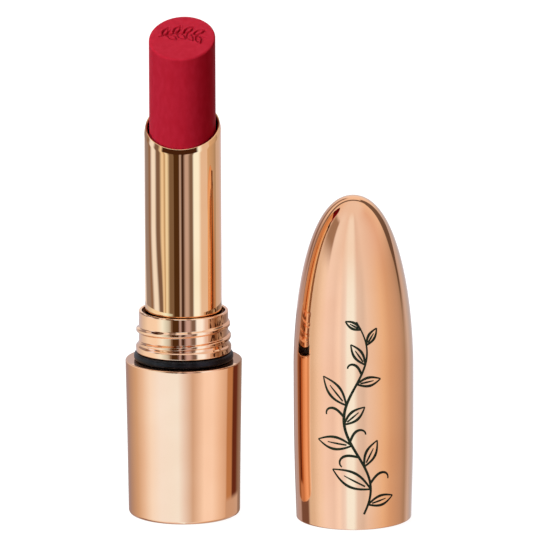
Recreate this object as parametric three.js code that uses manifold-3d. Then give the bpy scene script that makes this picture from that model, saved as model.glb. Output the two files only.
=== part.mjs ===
// A twist-up lipstick case, standing open beside its cap, in millimetres with +Z up.
//
// The case's axis is the Z axis and its base stands on z = 0. The user faces +Y, so the low side
// of the slanted cut is near -Y. Turning the tube anticlockwise from above lowers the lipstick:
// two pegs on the lifter pass through the guide's slots into helical grooves in a fixed sleeve.
import * as THREE from 'three';
import { mergeVertices } from 'three/addons/utils/BufferGeometryUtils.js';
import Module from 'manifold-3d';

const wasm = await Module();
wasm.setup();

// ---- driving dimensions -------------------------------------------------------------------
const FINE_SIDES = 40; // round pieces that show
const PLAIN_SIDES = 36; // round pieces inside
const PEG_SIDES = 16;
const DEGREES_PER_STEP = 10; // along a wound bar
const FITTED_GAP = 0.1; // between pieces fixed to each other
const RESTING_GAP = 0.05; // between faces that rest on each other
const SPARE = 1; // how far a blank or a cutter runs past the finished face

const BASE = {
  footRadius: 10.19,
  shoulderRadius: 10.65,
  shoulderHeight: 28.9,
  shoulderThickness: 0.7,
  shoulderEdge: 0.25,
  boreRadius: 9.7,
  boreFoot: 1.5, // where the wall has its full bore
  edgeRadius: 1,
  mouthRadius: 8.9,
  mouthHeight: 0.8, // of the rolled-in foot
  flare: 0.42, // the share of the taper that is reached at half height
};
const COLLAR = {
  radius: 8.17,
  boreRadius: 7.6,
  rimHeight: 38.15,
  neckRadius: 8.1,
  flangeRadius: 9.55,
  beadRadius: 8.71,
  beadBottom: 30.4,
  beadTop: 31.9,
  chamfer: 0.2,
};
const THREAD = {
  crestRadius: 8.65,
  rootHalfHeight: 0.62,
  crestHalfHeight: 0.25,
  pitch: 2.5,
  frontHeight: 35.15, // of the upper ridge, where it crosses the front
  firstAngle: -545,
  lastAngle: 20,
  rooting: 0.3, // how deep the ridge is set into its wall
};
const SEAL = { innerRadius: 8.25, outerRadius: 9.08, height: 1.4, gap: 0.02 };
const CUT = { slant: 24.5, turn: -6, tubeHeight: 72.6, lipstickHeight: 88.9 }; // heights on the axis
const TUBE = {
  radius: 7.0,
  boreRadius: 6.4,
  foot: 29,
  flareRadius: 7.42,
  flareBore: 7.05,
  flareTop: 34.9,
  flareSlope: 0.3, // height over which the flare draws in
};
const GUIDE = { radius: 6.95, foot: 6.6, head: 34.5, slotWidth: 2.2, slotTop: 28.2 };
const LIFT = { travel: 18, turn: 450, raisedPegHeight: 26.1, endPlay: 2 }; // turn and play in degrees
const LIFTER = { radius: 6.2, boreRadius: 5.4, foot: 24.9, head: 57.4 };
const PEG = { radius: 0.9, root: 5.7, reach: 8.1 };
const CUP = { floor: 57.9, floorThickness: 1, mouth: 65.5, boreRadius: 5.6, plugRadius: 5.3, plugDepth: 4 };
const LIPSTICK = { radius: 6.06, stemRadius: 5.5, stemFoot: 59.1, stemTop: 66, shoulder: 0.4 };
const SPIRAL = {
  radius: 8.65,
  boreRadius: 7.25,
  foot: 6.45,
  head: 27.4,
  grooveRadius: 8.25,
  grooveHalfHeight: 1.18,
};
const INNER_BASE = { radius: 9.6, boreRadius: 8.75, floor: 5.6, floorThickness: 0.8, head: 27.4 };
const WEIGHT = { radius: 9.4, bottom: 1.9, height: 3.5 };
const PLUG = { radius: 8.8, height: 1.8, recessRadius: 7.8, recessDepth: 0.25 };
const LABEL = { radius: 7.7, thickness: 0.2 };
const FRICTION_RING = { innerRadius: 7.1, bottom: 35.4, height: 1.1 };

const CAP = {
  x: 31.0,
  y: -3.85,
  height: 60.25,
  mouthRadius: 10.52,
  widestRadius: 10.95,
  widestHeight: 28.5,
  lowerLean: 0.27, // how far outwards the tangent at the mouth leans
  lowerPull: 9.6, // how far up that tangent runs
  waistPull: 17.3, // how far down from the widest place its tangent runs
  upperPull: 10.2, // how far up from the widest place its tangent runs
  nosePull: 8.8, // how far out from the tip the flat of the nose runs
  wall: 0.8,
  edgeRadius: 0.25,
  edgeShare: 0.02, // of the curve, which the rounded edge takes up
  outerSteps: 20,
  innerSteps: 14,
  crowding: 1.4, // above 1 sets the steps closer together at the nose
};
const LINER = {
  foot: 0.4,
  throatRadius: 9.25, // room for the seal
  throatHeight: 2.2,
  boreRadius: 8.9,
  threadTop: 8.8,
  stepHeight: 10.4,
  upperRadius: 7.75,
  head: 50.2,
  domeRadius: 6,
  wall: 0.75,
  throatSlope: 0.4,
  stepSlope: 1.6,
  ridgeRadius: 8.42,
  ridgeRootHalfHeight: 0.6,
  ridgeCrestHalfHeight: 0.2,
  ridgeFoot: 3.2,
  ridgeTurns: 1.25,
};

// ---- helpers ------------------------------------------------------------------------------
const radians = THREE.MathUtils.degToRad;

/** Revolves [radius, height] corners, listed anticlockwise, about Z. */
function revolve(corners, sides = PLAIN_SIDES) {
  const points = corners.map(([radius, height]) => new THREE.Vector2(radius, height));
  const geometry = new THREE.LatheGeometry(points, sides);
  geometry.rotateX(Math.PI / 2);
  return geometry;
}

/** A round tube between two heights. */
function ring(innerRadius, outerRadius, bottom, top, sides) {
  const corners = [
    [innerRadius, bottom],
    [outerRadius, bottom],
    [outerRadius, top],
    [innerRadius, top],
    [innerRadius, bottom],
  ];
  return revolve(corners, sides);
}

/** Corners of a quarter circle about (radius, height), from one angle to another in degrees. */
function arc(radius, height, size, fromAngle, toAngle, steps) {
  const corners = [];
  for (let i = 0; i <= steps; i += 1) {
    const angle = radians(fromAngle + ((toAngle - fromAngle) * i) / steps);
    corners.push([radius + size * Math.cos(angle), height + size * Math.sin(angle)]);
  }
  return corners;
}

/** Turns a closed geometry into a solid that can be cut or joined. */
function toSolid(geometry) {
  const bare = geometry.clone();
  bare.deleteAttribute('normal');
  bare.deleteAttribute('uv');
  const merged = mergeVertices(bare, 1e-4);
  const corners = merged.index.array;
  const triVerts = [];
  for (let i = 0; i < corners.length; i += 3) {
    const [a, b, c] = corners.slice(i, i + 3);
    if (a !== b && b !== c && c !== a) triVerts.push(a, b, c);
  }
  const vertProperties = new Float32Array(merged.attributes.position.array);
  return new wasm.Manifold(new wasm.Mesh({ numProp: 3, vertProperties, triVerts: new Uint32Array(triVerts) }));
}

/** Turns a solid back into a geometry. */
function toGeometry(solid) {
  const { vertProperties, triVerts } = solid.getMesh();
  const geometry = new THREE.BufferGeometry();
  geometry.setAttribute('position', new THREE.BufferAttribute(vertProperties, 3));
  geometry.setIndex(new THREE.BufferAttribute(triVerts, 1));
  return geometry;
}

/**
 * Winds a straight bar about Z. The section's corners are [radius, height]. The bar runs from one
 * end to the other, each { angle, height }, clockwise from above, which keeps its faces outward.
 */
function windBar(section, from, to) {
  const shape = new THREE.Shape(section.map(([radius, height]) => new THREE.Vector2(radius, height)));
  const steps = Math.ceil(Math.abs(to.angle - from.angle) / DEGREES_PER_STEP);
  const geometry = new THREE.ExtrudeGeometry(shape, { depth: 1, steps, bevelEnabled: false });
  const position = geometry.attributes.position;
  for (let i = 0; i < position.count; i += 1) {
    const along = position.getZ(i);
    const angle = radians(from.angle + (to.angle - from.angle) * along);
    const height = from.height + (to.height - from.height) * along;
    const radius = position.getX(i);
    position.setXYZ(i, radius * Math.cos(angle), radius * Math.sin(angle), height + position.getY(i));
  }
  return geometry;
}

/** Everything above the slanted plane that crosses the axis at a height. */
function aboveSlant(height) {
  const size = 60;
  const block = new THREE.BoxGeometry(size, size, size);
  block.translate(0, 0, size / 2);
  block.rotateX(radians(CUT.slant));
  block.rotateZ(radians(CUT.turn));
  block.translate(0, 0, height);
  return toSolid(block);
}

/** The height above the cut's centre that a radius reaches on the high side. */
const slantRise = (radius) => radius * Math.tan(radians(CUT.slant));

// ---- the base and what is fixed in it -------------------------------------------------------
function baseShell() {
  const { footRadius, shoulderRadius, shoulderHeight, shoulderEdge } = BASE;
  const { edgeRadius, mouthRadius, mouthHeight, boreRadius, boreFoot } = BASE;
  const roof = shoulderHeight - BASE.shoulderThickness;
  const middle = (shoulderHeight + edgeRadius) / 2;
  const middleRadius = footRadius + (shoulderRadius - footRadius) * BASE.flare;
  return revolve(
    [
      [mouthRadius, 0],
      ...arc(footRadius - edgeRadius, edgeRadius, edgeRadius, -90, 0, 5),
      [middleRadius, middle],
      ...arc(shoulderRadius - shoulderEdge, shoulderHeight - shoulderEdge, shoulderEdge, 0, 90, 2),
      [COLLAR.neckRadius + FITTED_GAP, shoulderHeight],
      [COLLAR.neckRadius + FITTED_GAP, roof],
      [boreRadius, roof],
      [boreRadius, boreFoot],
      [mouthRadius, mouthHeight],
      [mouthRadius, 0],
    ],
    FINE_SIDES,
  );
}

function basePlug() {
  const { radius, height, recessRadius, recessDepth } = PLUG;
  return revolve([
    [0, recessDepth],
    [recessRadius, recessDepth],
    [recessRadius, 0],
    [radius, 0],
    [radius, height],
    [0, height],
  ]);
}

const shadeLabel = () =>
  revolve([
    [0, 0],
    [LABEL.radius, 0],
    [LABEL.radius, LABEL.thickness],
    [0, LABEL.thickness],
  ]);

const baseWeight = () =>
  revolve([
    [0, WEIGHT.bottom],
    [WEIGHT.radius, WEIGHT.bottom],
    [WEIGHT.radius, WEIGHT.bottom + WEIGHT.height],
    [0, WEIGHT.bottom + WEIGHT.height],
  ]);

function innerBase() {
  const { radius, boreRadius, floor, floorThickness, head } = INNER_BASE;
  return revolve([
    [0, floor],
    [radius, floor],
    [radius, head],
    [boreRadius, head],
    [boreRadius, floor + floorThickness],
    [0, floor + floorThickness],
  ]);
}

/** The two pegs' groove runs from the lowered peg up to the raised one. */
function spiralSleeve() {
  const { radius, boreRadius, foot, head, grooveRadius, grooveHalfHeight } = SPIRAL;
  const section = [
    [boreRadius - SPARE, -grooveHalfHeight],
    [grooveRadius, -grooveHalfHeight],
    [grooveRadius, grooveHalfHeight],
    [boreRadius - SPARE, grooveHalfHeight],
  ];
  const overrun = THREE.MathUtils.radToDeg(PEG.radius / boreRadius) + LIFT.endPlay;
  const risePerDegree = LIFT.travel / LIFT.turn;
  const loweredHeight = LIFT.raisedPegHeight - LIFT.travel;
  let solid = toSolid(ring(boreRadius, radius, foot, head));
  for (const pegAngle of [0, 180]) {
    const from = {
      angle: pegAngle + LIFT.turn + overrun,
      height: loweredHeight - overrun * risePerDegree,
    };
    const to = {
      angle: pegAngle - overrun,
      height: LIFT.raisedPegHeight + overrun * risePerDegree,
    };
    solid = solid.subtract(toSolid(windBar(section, from, to)));
  }
  return toGeometry(solid);
}

function threadCollar() {
  const { radius, boreRadius, rimHeight, neckRadius, flangeRadius, beadRadius, chamfer } = COLLAR;
  const flangeBottom = SPIRAL.head + RESTING_GAP;
  const flangeTop = BASE.shoulderHeight - BASE.shoulderThickness - RESTING_GAP;
  const body = revolve(
    [
      [boreRadius, flangeBottom],
      [flangeRadius, flangeBottom],
      [flangeRadius, flangeTop],
      [neckRadius, flangeTop],
      [neckRadius, COLLAR.beadBottom],
      [beadRadius, COLLAR.beadBottom],
      [beadRadius, COLLAR.beadTop - chamfer],
      [beadRadius - chamfer, COLLAR.beadTop],
      [radius, COLLAR.beadTop],
      [radius, rimHeight - chamfer],
      [radius - chamfer, rimHeight],
      [boreRadius, rimHeight],
      [boreRadius, flangeBottom],
    ],
    FINE_SIDES,
  );
  const ridgeEnd = (angle) => ({ angle, height: THREAD.frontHeight + (THREAD.pitch * (angle + 90)) / 360 });
  const section = [
    [radius - THREAD.rooting, -THREAD.rootHalfHeight],
    [THREAD.crestRadius, -THREAD.crestHalfHeight],
    [THREAD.crestRadius, THREAD.crestHalfHeight],
    [radius - THREAD.rooting, THREAD.rootHalfHeight],
  ];
  const ridge = windBar(section, ridgeEnd(THREAD.lastAngle), ridgeEnd(THREAD.firstAngle));
  return toGeometry(toSolid(body).add(toSolid(ridge)));
}

function sealRing() {
  const { innerRadius, outerRadius, height, gap } = SEAL;
  const round = (outerRadius - innerRadius) / 2;
  const bottom = BASE.shoulderHeight + gap;
  return revolve(
    [
      [innerRadius, bottom],
      ...arc(outerRadius - round, bottom + round, round, -90, 0, 2),
      ...arc(outerRadius - round, bottom + height - round, round, 0, 90, 2),
      [innerRadius, bottom + height],
      [innerRadius, bottom],
    ],
    FINE_SIDES,
  );
}

function frictionRing() {
  const { innerRadius, bottom, height } = FRICTION_RING;
  return ring(innerRadius, COLLAR.boreRadius - FITTED_GAP, bottom, bottom + height);
}

// ---- the tube that the user turns -----------------------------------------------------------
function lipstickTube() {
  const { radius, boreRadius, flareRadius, flareBore, flareTop, flareSlope, foot } = TUBE;
  const blank = CUT.tubeHeight + slantRise(radius) + SPARE;
  const body = revolve(
    [
      [flareBore, foot],
      [flareRadius, foot],
      [flareRadius, flareTop],
      [radius, flareTop + flareSlope],
      [radius, blank],
      [boreRadius, blank],
      [boreRadius, flareTop],
      [flareBore, flareTop - flareSlope],
      [flareBore, foot],
    ],
    FINE_SIDES,
  );
  return toGeometry(toSolid(body).subtract(aboveSlant(CUT.tubeHeight)));
}

function guideSleeve() {
  const { radius, foot, head, slotWidth, slotTop } = GUIDE;
  const slotHeight = slotTop - foot + SPARE;
  const slots = new THREE.BoxGeometry(4 * radius, slotWidth, slotHeight);
  slots.translate(0, 0, slotTop - slotHeight / 2);
  const body = ring(TUBE.boreRadius, radius, foot, head);
  return toGeometry(toSolid(body).subtract(toSolid(slots)));
}

// ---- what the twist lifts -------------------------------------------------------------------
function lifter() {
  const { radius, boreRadius, foot, head } = LIFTER;
  let solid = toSolid(ring(boreRadius, radius, foot, head));
  for (const side of [1, -1]) {
    const peg = new THREE.CylinderGeometry(PEG.radius, PEG.radius, PEG.reach - PEG.root, PEG_SIDES);
    peg.rotateZ(Math.PI / 2);
    peg.translate((side * (PEG.root + PEG.reach)) / 2, 0, LIFT.raisedPegHeight);
    solid = solid.add(toSolid(peg));
  }
  return toGeometry(solid);
}

function lipstickCup() {
  const { floor, floorThickness, mouth, boreRadius, plugRadius, plugDepth } = CUP;
  const rest = LIFTER.head + RESTING_GAP;
  return revolve([
    [0, rest - plugDepth],
    [plugRadius, rest - plugDepth],
    [plugRadius, rest],
    [LIFTER.radius, rest],
    [LIFTER.radius, mouth],
    [boreRadius, mouth],
    [boreRadius, floor + floorThickness],
    [0, floor + floorThickness],
  ]);
}

function lipstick() {
  const { radius, stemRadius, stemFoot, stemTop, shoulder } = LIPSTICK;
  const blank = CUT.lipstickHeight + slantRise(radius) + SPARE;
  const body = revolve(
    [
      [0, stemFoot],
      [stemRadius, stemFoot],
      [stemRadius, stemTop],
      [radius, stemTop + shoulder],
      [radius, blank],
      [0, blank],
    ],
    FINE_SIDES,
  );
  return toGeometry(toSolid(body).subtract(aboveSlant(CUT.lipstickHeight)));
}

// ---- the cap --------------------------------------------------------------------------------
/** The cap's curve from just above the mouth to the tip, set in from the outside by an inset. */
function capCurve(inset, steps) {
  const curve = new THREE.CurvePath();
  const widest = new THREE.Vector2(CAP.widestRadius, CAP.widestHeight);
  curve.add(
    new THREE.CubicBezierCurve(
      new THREE.Vector2(CAP.mouthRadius, 0),
      new THREE.Vector2(CAP.mouthRadius + CAP.lowerLean, CAP.lowerPull),
      new THREE.Vector2(CAP.widestRadius, CAP.widestHeight - CAP.waistPull),
      widest,
    ),
  );
  curve.add(
    new THREE.CubicBezierCurve(
      widest,
      new THREE.Vector2(CAP.widestRadius, CAP.widestHeight + CAP.upperPull),
      new THREE.Vector2(CAP.nosePull, CAP.height),
      new THREE.Vector2(0, CAP.height),
    ),
  );
  const corners = [];
  for (let i = 0; i <= steps; i += 1) {
    const share = 1 - (1 - CAP.edgeShare) * (1 - i / steps) ** CAP.crowding;
    const point = curve.getPointAt(share);
    const tangent = curve.getTangentAt(share);
    corners.push([Math.max(0, point.x - inset * tangent.y), point.y + inset * tangent.x]);
  }
  corners[steps][0] = 0;
  return corners;
}

function capShell() {
  const { mouthRadius, edgeRadius, wall } = CAP;
  const outside = capCurve(0, CAP.outerSteps);
  const inside = capCurve(wall, CAP.innerSteps).reverse();
  return revolve(
    [
      ...outside,
      ...inside,
      [mouthRadius - wall, 0],
      ...arc(mouthRadius - edgeRadius, edgeRadius, edgeRadius, -90, 0, 2),
      outside[0],
    ],
    FINE_SIDES,
  );
}

/** The liner's outside keeps a small gap to the shell and its bore clears the collar and the tube. */
function capLiner() {
  const { foot, wall, throatRadius, throatHeight, boreRadius, threadTop } = LINER;
  const { stepHeight, stepSlope, upperRadius, head, domeRadius } = LINER;
  const outerLower = CAP.mouthRadius - CAP.wall - FITTED_GAP;
  const outerUpper = upperRadius + wall;
  const innerDome = domeRadius - wall;
  const body = revolve(
    [
      [throatRadius, foot],
      [outerLower, foot],
      [outerLower, stepHeight],
      [outerUpper, stepHeight + stepSlope],
      ...arc(outerUpper - domeRadius, head - domeRadius, domeRadius, 0, 90, 4),
      [0, head],
      [0, head - wall],
      ...arc(upperRadius - innerDome, head - domeRadius, innerDome, 90, 0, 4),
      [upperRadius, stepHeight],
      [boreRadius, threadTop],
      [boreRadius, throatHeight],
      [throatRadius, throatHeight - LINER.throatSlope],
      [throatRadius, foot],
    ],
    FINE_SIDES,
  );
  const section = [
    [LINER.ridgeRadius, -LINER.ridgeCrestHalfHeight],
    [boreRadius + THREAD.rooting, -LINER.ridgeRootHalfHeight],
    [boreRadius + THREAD.rooting, LINER.ridgeRootHalfHeight],
    [LINER.ridgeRadius, LINER.ridgeCrestHalfHeight],
  ];
  const top = { angle: 360 * LINER.ridgeTurns, height: LINER.ridgeFoot + THREAD.pitch * LINER.ridgeTurns };
  const ridge = windBar(section, top, { angle: 0, height: LINER.ridgeFoot });
  return toGeometry(toSolid(body).add(toSolid(ridge)));
}

// ---- the assembly ---------------------------------------------------------------------------
const finishes = {
  roseGold: { color: 0xe3b08c, roughness: 0.12, metalness: 1 },
  paleGold: { color: 0xe6bf8f, roughness: 0.08, metalness: 1 },
  rubber: { color: 0x151517, roughness: 0.55, metalness: 0 },
  steel: { color: 0x9a9c9e, roughness: 0.4, metalness: 1 },
  blackPlastic: { color: 0x1d1b1b, roughness: 0.5, metalness: 0 },
  whitePlastic: { color: 0xe9e5dc, roughness: 0.45, metalness: 0 },
  nylon: { color: 0xd9d2c2, roughness: 0.5, metalness: 0 },
  label: { color: 0xf1ebe3, roughness: 0.6, metalness: 0 },
  lipstick: { color: 0xa81c30, roughness: 0.6, metalness: 0 },
};

function piece(name, geometry, finish) {
  const mesh = new THREE.Mesh(geometry, new THREE.MeshStandardMaterial(finishes[finish]));
  mesh.name = name;
  return mesh;
}

const base = new THREE.Group();
base.add(
  piece('base_shell', baseShell(), 'roseGold'),
  piece('base_plug', basePlug(), 'blackPlastic'),
  piece('shade_label', shadeLabel(), 'label'),
  piece('base_weight', baseWeight(), 'steel'),
  piece('inner_base', innerBase(), 'whitePlastic'),
  piece('spiral_sleeve', spiralSleeve(), 'nylon'),
  piece('thread_collar', threadCollar(), 'roseGold'),
  piece('seal_ring', sealRing(), 'rubber'),
  piece('friction_ring', frictionRing(), 'nylon'),
);

const turningTube = new THREE.Group();
turningTube.add(
  piece('lipstick_tube', lipstickTube(), 'paleGold'),
  piece('guide_sleeve', guideSleeve(), 'whitePlastic'),
);

const lift = new THREE.Group();
lift.add(
  piece('lifter', lifter(), 'whitePlastic'),
  piece('lipstick_cup', lipstickCup(), 'whitePlastic'),
  piece('lipstick', lipstick(), 'lipstick'),
);

const cap = new THREE.Group();
cap.add(
  piece('cap_shell', capShell(), 'roseGold'),
  piece('cap_liner', capLiner(), 'whitePlastic'),
);
cap.position.set(CAP.x, CAP.y, 0);

const lipstickCase = new THREE.Group();
lipstickCase.add(base, turningTube, lift, cap);

export default lipstickCase;
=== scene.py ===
"""The looks of a twist-up lipstick case that stands open beside its cap.

Lengths are millimetres in the maker's tables below and metres in every mesh. Turned pieces are
drawn as an outline of corners, each with its own rounding, and spun by a Geometry Nodes tree.
"""

import math

import bpy
from mathutils import Matrix, Vector


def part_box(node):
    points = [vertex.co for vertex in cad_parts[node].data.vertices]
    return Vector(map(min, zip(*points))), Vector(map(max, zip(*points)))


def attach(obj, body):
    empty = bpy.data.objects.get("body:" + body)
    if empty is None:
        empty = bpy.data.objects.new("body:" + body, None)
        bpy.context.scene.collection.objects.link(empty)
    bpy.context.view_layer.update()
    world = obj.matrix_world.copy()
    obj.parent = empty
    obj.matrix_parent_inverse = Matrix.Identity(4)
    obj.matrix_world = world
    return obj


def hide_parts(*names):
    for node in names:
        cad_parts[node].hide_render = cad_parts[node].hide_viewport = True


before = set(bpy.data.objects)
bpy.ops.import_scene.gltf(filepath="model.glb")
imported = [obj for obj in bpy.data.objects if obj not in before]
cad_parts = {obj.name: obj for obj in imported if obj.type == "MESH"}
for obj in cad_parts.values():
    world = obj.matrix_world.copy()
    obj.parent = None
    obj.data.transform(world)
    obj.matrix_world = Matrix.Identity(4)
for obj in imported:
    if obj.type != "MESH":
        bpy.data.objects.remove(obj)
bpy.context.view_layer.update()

MM = 0.001

# ---- sizes -------------------------------------------------------------------------------------
SLANT = math.radians(24.5)  # of the lipstick's cut and of the tube's rim
SLANT_TURN = math.radians(-6)  # of the slant's low side about Z, from -Y
CUT_HEIGHT = 88.9  # of the lipstick's cut, on the axis
RIM_HEIGHT = 72.6  # of the tube's rim, on the axis
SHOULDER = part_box("base_shell")[1].z / MM
COLLAR_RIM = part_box("thread_collar")[1].z / MM
CAP_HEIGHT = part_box("cap_shell")[1].z / MM
CAP_LOW, CAP_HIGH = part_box("cap_shell")
CAP_AXIS = Vector(((CAP_LOW.x + CAP_HIGH.x) / 2, (CAP_LOW.y + CAP_HIGH.y) / 2, 0))
CAP_WIDEST = (CAP_HIGH.x - CAP_LOW.x) / 2 / MM
BASE_FOOT = 10.19  # radius of the base at its foot
CAP_MOUTH = 10.52
CAP_WIDEST_HEIGHT = 28.5
TUBE_RADIUS = 7.0
LIPSTICK_RADIUS = 6.06
COLLAR_RADIUS = 8.17
THREAD = {"pitch": 2.5, "front height": 35.15, "height": 0.48, "half width": 0.62}
THREAD_TURN = (-545, 20)  # degrees, from where it starts to where it ends


# ---- a short way to write node trees -----------------------------------------------------------
class Tree:
    """Adds nodes to a node tree, with each input given as a value or as another node's output."""

    def __init__(self, tree):
        self.tree = tree

    def add(self, kind, inputs=(), **settings):
        node = self.tree.nodes.new(kind)
        for name, value in settings.items():
            setattr(node, name, value)
        for name, value in dict(inputs).items():
            self.feed(node.inputs[name], value)
        return node

    def feed(self, socket, value):
        if isinstance(value, bpy.types.NodeSocket):
            self.tree.links.new(value, socket)
        else:
            socket.default_value = value

    def sum(self, operation, *values):
        node = self.add("ShaderNodeMath", operation=operation)
        for socket, value in zip(node.inputs, values):
            self.feed(socket, value)
        return node.outputs[0]

    def step(self, value, low, high, smooth=True):
        """0 below low, 1 above high, and a slope between."""
        kind = "SMOOTHSTEP" if smooth else "LINEAR"
        inputs = {"Value": value, "From Min": low, "From Max": high}
        return self.add("ShaderNodeMapRange", inputs, interpolation_type=kind).outputs[0]

    def split(self, vector):
        return self.add("ShaderNodeSeparateXYZ", {"Vector": vector}).outputs

    def join(self, x, y, z):
        return self.add("ShaderNodeCombineXYZ", {"X": x, "Y": y, "Z": z}).outputs[0]

    def ramp(self, value, stops):
        """A colour ramp; a stop is (place, light)."""
        node = self.add("ShaderNodeValToRGB", {"Fac": value})
        elements = node.color_ramp.elements
        while len(elements) < len(stops):
            elements.new(1)
        for element, (place, light) in zip(elements, stops):
            element.position = place
            element.color = (*light, 1)
        return node.outputs[0]

    def blend(self, amount, first, second):
        node = self.add("ShaderNodeMix", data_type="RGBA")
        for index, value in ((0, amount), (6, first), (7, second)):
            self.feed(node.inputs[index], value)
        return node.outputs[2]


def colour(red, green, blue):
    return (red, green, blue, 1)


# ---- Geometry Nodes: the lathe, the slanted cut, the screw ridge and the pressed emblem --------
def start_geometry_tree(name, sizes):
    """A geometry tree with a Geometry input, the named inputs, and a Geometry output."""
    group = bpy.data.node_groups.new(name, "GeometryNodeTree")
    group.interface.new_socket("Geometry", in_out="OUTPUT", socket_type="NodeSocketGeometry")
    group.interface.new_socket("Geometry", in_out="INPUT", socket_type="NodeSocketGeometry")
    for label, kind in sizes.items():
        group.interface.new_socket(label, in_out="INPUT", socket_type="NodeSocket" + kind)
    group.interface.new_socket("Material", in_out="INPUT", socket_type="NodeSocketMaterial")
    tree = Tree(group)
    return tree, tree.add("NodeGroupInput").outputs


def end_geometry_tree(tree, geometry, material):
    """Realizes instances, shades smooth and sets the material."""
    whole = tree.add("GeometryNodeRealizeInstances", {"Geometry": geometry}).outputs[0]
    smooth = tree.add("GeometryNodeSetShadeSmooth", {"Geometry": whole}).outputs[0]
    inputs = {"Geometry": smooth, "Material": material}
    finished = tree.add("GeometryNodeSetMaterial", inputs).outputs[0]
    tree.add("NodeGroupOutput", {"Geometry": finished})
    return tree.tree


def move_points(tree, geometry, position):
    return tree.add("GeometryNodeSetPosition", {"Geometry": geometry, "Position": position}).outputs[0]


def round_place(tree, vector):
    """A point's radius, angle and height."""
    x, y, z = tree.split(vector)
    radius = tree.sum("SQRT", tree.sum("ADD", tree.sum("MULTIPLY", x, x), tree.sum("MULTIPLY", y, y)))
    return radius, tree.sum("ARCTAN2", y, x), z


def from_round_place(tree, radius, angle, height):
    across = tree.sum("MULTIPLY", radius, tree.sum("COSINE", angle))
    along = tree.sum("MULTIPLY", radius, tree.sum("SINE", angle))
    return tree.join(across, along, height)


def lathe_tree():
    """Spins the outline's points, taken in order, about Z."""
    tree, given = start_geometry_tree("lathe", {"Sides": "Int"})
    outline = given["Geometry"]
    size = tree.add("GeometryNodeAttributeDomainSize", {"Geometry": outline}, component="MESH")
    rows = size.outputs["Point Count"]
    columns = tree.sum("ADD", given["Sides"], 1)
    grid = tree.add("GeometryNodeMeshGrid", {"Vertices X": columns, "Vertices Y": rows}).outputs[0]
    index = tree.add("GeometryNodeInputIndex").outputs[0]
    column = tree.sum("FLOOR", tree.sum("DIVIDE", tree.sum("ADD", index, 0.5), rows))
    row = tree.sum("SUBTRACT", index, tree.sum("MULTIPLY", column, rows))
    place = tree.add("GeometryNodeInputPosition").outputs[0]
    sample = tree.add("GeometryNodeSampleIndex", data_type="FLOAT_VECTOR", domain="POINT")
    tree.feed(sample.inputs["Geometry"], outline)
    tree.feed(sample.inputs["Value"], place)
    tree.feed(sample.inputs["Index"], row)
    radius, _, height = tree.split(sample.outputs[0])
    angle = tree.sum("DIVIDE", tree.sum("MULTIPLY", column, 2 * math.pi), given["Sides"])
    spun = move_points(tree, grid, from_round_place(tree, radius, angle, height))
    merged = tree.add("GeometryNodeMergeByDistance", {"Geometry": spun, "Distance": 2e-7}).outputs[0]
    return end_geometry_tree(tree, merged, given["Material"])


def slant_tree():
    """Leans everything above a height, more and more, until its top follows the slanted cut."""
    tree, given = start_geometry_tree("slant", {"Slope": "Float", "From": "Float", "To": "Float"})
    x, y, z = tree.split(tree.add("GeometryNodeInputPosition").outputs[0])
    share = tree.step(z, given["From"], given["To"], smooth=False)
    sideways = tree.sum("MULTIPLY", x, -math.sin(SLANT_TURN))
    uphill = tree.sum("ADD", sideways, tree.sum("MULTIPLY", y, math.cos(SLANT_TURN)))
    lift = tree.sum("MULTIPLY", tree.sum("MULTIPLY", uphill, given["Slope"]), share)
    moved = move_points(tree, given["Geometry"], tree.join(x, y, tree.sum("ADD", z, lift)))
    return end_geometry_tree(tree, moved, given["Material"])


def screw_tree():
    """Raises a single-start screw ridge out of one round wall, fading in and out at its ends."""
    sizes = ("Wall", "Low", "High", "Height", "Half width", "Pitch", "Front height", "Start", "End")
    tree, given = start_geometry_tree("screw ridge", {size: "Float" for size in sizes})
    radius, angle, height = round_place(tree, tree.add("GeometryNodeInputPosition").outputs[0])
    turn = tree.sum("DIVIDE", tree.sum("ADD", angle, math.pi / 2), 2 * math.pi)
    above = tree.sum("SUBTRACT", height, given["Front height"])
    level = tree.sum("SUBTRACT", tree.sum("DIVIDE", above, given["Pitch"]), turn)
    whole = tree.sum("ROUND", level)
    off = tree.sum("MULTIPLY", tree.sum("ABSOLUTE", tree.sum("SUBTRACT", level, whole)), given["Pitch"])
    along = tree.sum("ADD", turn, whole)
    lead = 0.1
    fade_in = tree.step(along, given["Start"], tree.sum("ADD", given["Start"], lead))
    fade_out = tree.step(along, given["End"], tree.sum("SUBTRACT", given["End"], lead))
    crest = tree.sum("MULTIPLY", given["Half width"], 0.3)
    shape = tree.sum("SUBTRACT", 1, tree.step(off, crest, given["Half width"]))
    on_wall = tree.sum("COMPARE", radius, given["Wall"], 0.02 * MM)
    margin = 0.15 * MM
    low = tree.step(height, given["Low"], tree.sum("ADD", given["Low"], margin))
    high = tree.step(height, given["High"], tree.sum("SUBTRACT", given["High"], margin))
    rise = given["Height"]
    for factor in (shape, fade_in, fade_out, on_wall, low, high):
        rise = tree.sum("MULTIPLY", rise, factor)
    place = from_round_place(tree, tree.sum("ADD", radius, rise), angle, height)
    moved = move_points(tree, given["Geometry"], place)
    return end_geometry_tree(tree, moved, given["Material"])


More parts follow.
